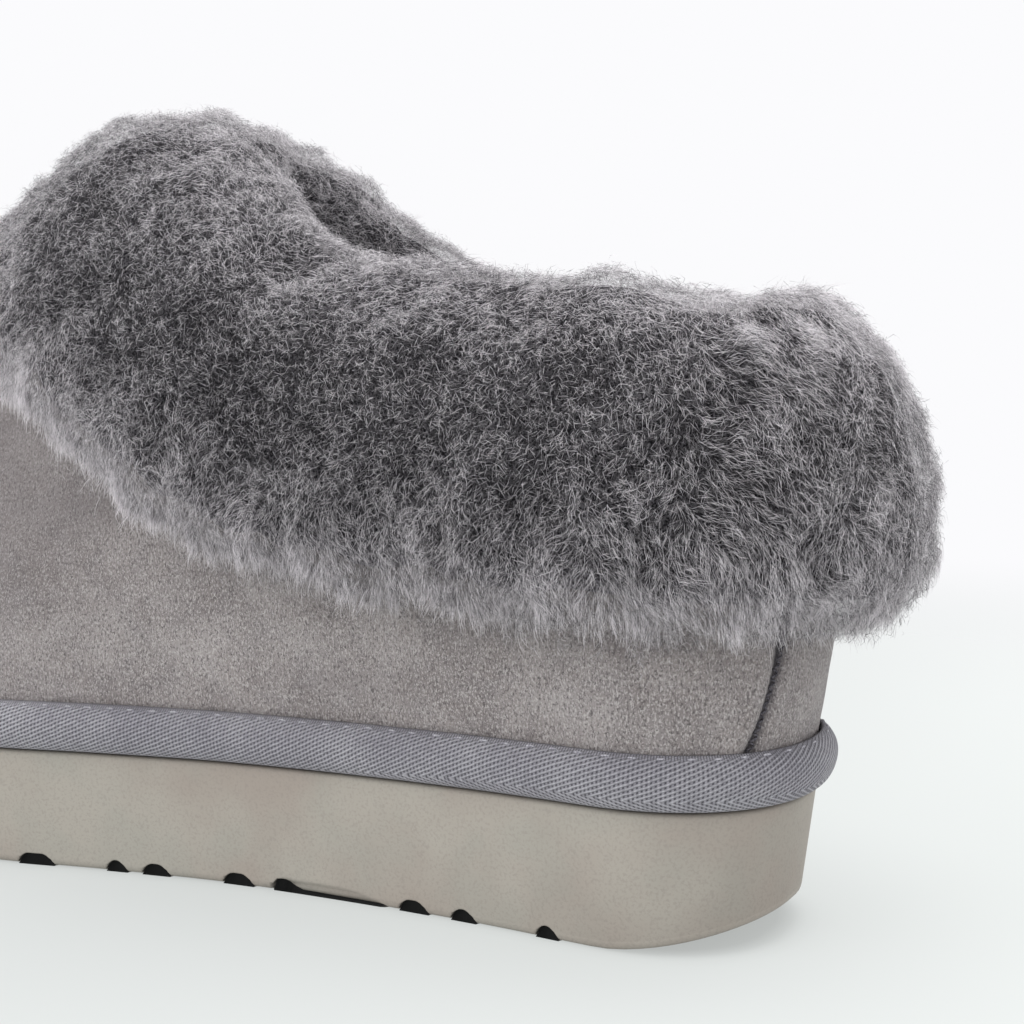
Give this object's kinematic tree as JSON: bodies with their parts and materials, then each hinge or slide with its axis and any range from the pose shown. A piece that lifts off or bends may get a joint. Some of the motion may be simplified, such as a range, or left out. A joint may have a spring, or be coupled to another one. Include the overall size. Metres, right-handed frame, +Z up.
{
  "type": "platform slipper",
  "caption": "Closed-back platform slipper with a hollow suede upper, a deep fur cuff, a taped edge and a lugged one-piece foam sole.",
  "frame": {"origin": "on the floor under the middle of the slipper's bounding box", "axes": "+Z up, +Y towards the heel, -Y towards the toe, +X towards the inner (big toe) side of this right shoe"},
  "size_m": [0.1212, 0.2912, 0.1709],
  "materials": {
    "sole_foam": "matte taupe foam rubber",
    "twill_tape": "herringbone twill tape",
    "suede": "brushed suede",
    "sheepskin": "deep fur pile",
    "fleece": "short wool pile"
  },
  "bodies": {
    "root": {"outsole": "sole_foam", "binding": "twill_tape", "upper": "suede", "collar": "sheepskin", "insole": "fleece"}
  },
  "joints": []
}
